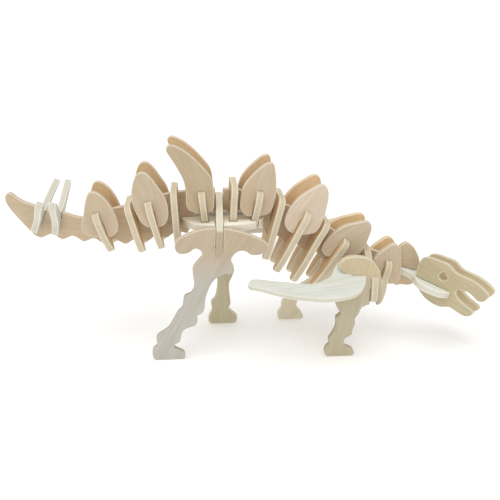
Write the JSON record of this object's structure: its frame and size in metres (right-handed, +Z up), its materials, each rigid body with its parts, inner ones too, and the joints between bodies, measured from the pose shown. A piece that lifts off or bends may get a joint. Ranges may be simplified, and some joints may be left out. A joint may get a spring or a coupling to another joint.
{
  "type": "wooden 3d jigsaw dinosaur",
  "caption": "Slot-together plywood model of a plated, spiny dinosaur skeleton: flat boards held by halved joints, with a head that turns in the neck.",
  "frame": {"origin": "middle of the bounding box, on the ground under the feet", "axes": "+X from tail to head, +Z up, the animal's right side faces -Y"},
  "size_m": [0.2236, 0.0676, 0.0982],
  "materials": {
    "head_plate": "bare sanded plywood",
    "hip_cross_board": "bare sanded plywood",
    "hip_plate": "bare sanded plywood",
    "left_front_leg": "bare sanded plywood",
    "left_hind_leg": "bare sanded plywood",
    "left_plate_1": "bare sanded plywood",
    "left_plate_2": "bare sanded plywood",
    "left_plate_3": "bare sanded plywood",
    "left_plate_4": "bare sanded plywood",
    "left_plate_5": "bare sanded plywood",
    "left_plate_6": "bare sanded plywood",
    "left_plate_7": "bare sanded plywood",
    "left_shoulder_spine": "bare sanded plywood",
    "left_skull_side": "bare sanded plywood",
    "rib_1": "bare sanded plywood",
    "rib_10": "bare sanded plywood",
    "rib_11": "bare sanded plywood",
    "rib_12": "bare sanded plywood",
    "rib_2": "bare sanded plywood",
    "rib_3": "bare sanded plywood",
    "rib_4": "bare sanded plywood",
    "rib_5": "bare sanded plywood",
    "rib_6": "bare sanded plywood",
    "rib_7": "bare sanded plywood",
    "rib_8": "bare sanded plywood",
    "rib_9": "bare sanded plywood",
    "right_front_leg": "bare sanded plywood",
    "right_hind_leg": "bare sanded plywood",
    "right_plate_1": "bare sanded plywood",
    "right_plate_2": "bare sanded plywood",
    "right_plate_3": "bare sanded plywood",
    "right_plate_4": "bare sanded plywood",
    "right_plate_5": "bare sanded plywood",
    "right_plate_6": "bare sanded plywood",
    "right_plate_7": "bare sanded plywood",
    "right_shoulder_spine": "bare sanded plywood",
    "right_skull_side": "bare sanded plywood",
    "shoulder_cross_board": "bare sanded plywood",
    "spine": "bare sanded plywood",
    "tail_spike_front": "bare sanded plywood",
    "tail_spike_rear": "bare sanded plywood"
  },
  "bodies": {
    "skeleton": {"hip_cross_board": "hip_cross_board", "hip_plate": "hip_plate", "left_front_leg": "left_front_leg", "left_hind_leg": "left_hind_leg", "left_shoulder_spine": "left_shoulder_spine", "rib_1": "rib_1", "rib_10": "rib_10", "rib_11": "rib_11", "rib_12": "rib_12", "rib_2": "rib_2", "rib_3": "rib_3", "rib_4": "rib_4", "rib_5": "rib_5", "rib_6": "rib_6", "rib_7": "rib_7", "rib_8": "rib_8", "rib_9": "rib_9", "right_front_leg": "right_front_leg", "right_hind_leg": "right_hind_leg", "right_shoulder_spine": "right_shoulder_spine", "shoulder_cross_board": "shoulder_cross_board", "spine": "spine"},
    "head": {"head_plate": "head_plate", "left_skull_side": "left_skull_side", "right_skull_side": "right_skull_side"},
    "left_plate_1": {"left_plate_1": "left_plate_1"},
    "left_plate_2": {"left_plate_2": "left_plate_2"},
    "left_plate_3": {"left_plate_3": "left_plate_3"},
    "left_plate_4": {"left_plate_4": "left_plate_4"},
    "left_plate_5": {"left_plate_5": "left_plate_5"},
    "left_plate_6": {"left_plate_6": "left_plate_6"},
    "left_plate_7": {"left_plate_7": "left_plate_7"},
    "right_plate_1": {"right_plate_1": "right_plate_1"},
    "right_plate_2": {"right_plate_2": "right_plate_2"},
    "right_plate_3": {"right_plate_3": "right_plate_3"},
    "right_plate_4": {"right_plate_4": "right_plate_4"},
    "right_plate_5": {"right_plate_5": "right_plate_5"},
    "right_plate_6": {"right_plate_6": "right_plate_6"},
    "right_plate_7": {"right_plate_7": "right_plate_7"},
    "tail_spike_front": {"tail_spike_front": "tail_spike_front"},
    "tail_spike_rear": {"tail_spike_rear": "tail_spike_rear"}
  },
  "joints": [
    {"name": "head_swivel", "type": "hinge", "parent": "skeleton", "child": "head", "pos_m": [0.07234, -0.00122, 0.0336], "axis": [0.3007, 0, 0.9537], "range_deg": [0, 72]},
    {"name": "right_plate_1_lift", "type": "slide", "parent": "skeleton", "child": "right_plate_1", "axis": [-0.2832, 0, 0.959], "range_m": [0, 0.012]},
    {"name": "left_plate_1_lift", "type": "slide", "parent": "skeleton", "child": "left_plate_1", "axis": [-0.2832, 0, 0.959], "range_m": [0, 0.012]},
    {"name": "right_plate_2_lift", "type": "slide", "parent": "skeleton", "child": "right_plate_2", "axis": [-0.2087, 0, 0.978], "range_m": [0, 0.012]},
    {"name": "left_plate_2_lift", "type": "slide", "parent": "skeleton", "child": "left_plate_2", "axis": [-0.2087, 0, 0.978], "range_m": [0, 0.012]},
    {"name": "right_plate_3_lift", "type": "slide", "parent": "skeleton", "child": "right_plate_3", "axis": [-0.105, 0, 0.9945], "range_m": [0, 0.012]},
    {"name": "left_plate_3_lift", "type": "slide", "parent": "skeleton", "child": "left_plate_3", "axis": [-0.105, 0, 0.9945], "range_m": [0, 0.012]},
    {"name": "right_plate_4_lift", "type": "slide", "parent": "skeleton", "child": "right_plate_4", "axis": [0.1718, 0, 0.9851], "range_m": [0, 0.012]},
    {"name": "left_plate_4_lift", "type": "slide", "parent": "skeleton", "child": "left_plate_4", "axis": [0.1718, 0, 0.9851], "range_m": [0, 0.012]},
    {"name": "right_plate_5_lift", "type": "slide", "parent": "skeleton", "child": "right_plate_5", "axis": [0.4254, 0, 0.905], "range_m": [0, 0.012]},
    {"name": "left_plate_5_lift", "type": "slide", "parent": "skeleton", "child": "left_plate_5", "axis": [0.4254, 0, 0.905], "range_m": [0, 0.012]},
    {"name": "right_plate_6_lift", "type": "slide", "parent": "skeleton", "child": "right_plate_6", "axis": [0.548, 0, 0.8365], "range_m": [0, 0.012]},
    {"name": "left_plate_6_lift", "type": "slide", "parent": "skeleton", "child": "left_plate_6", "axis": [0.548, 0, 0.8365], "range_m": [0, 0.012]},
    {"name": "right_plate_7_lift", "type": "slide", "parent": "skeleton", "child": "right_plate_7", "axis": [0.1996, 0, 0.9799], "range_m": [0, 0.012]},
    {"name": "left_plate_7_lift", "type": "slide", "parent": "skeleton", "child": "left_plate_7", "axis": [0.1996, 0, 0.9799], "range_m": [0, 0.012]},
    {"name": "tail_spike_rear_lift", "type": "slide", "parent": "skeleton", "child": "tail_spike_rear", "axis": [0.3827, 0, 0.9239], "range_m": [0, 0.008]},
    {"name": "tail_spike_front_lift", "type": "slide", "parent": "skeleton", "child": "tail_spike_front", "axis": [0.1736, 0, 0.9848], "range_m": [0, 0.01]}
  ]
}
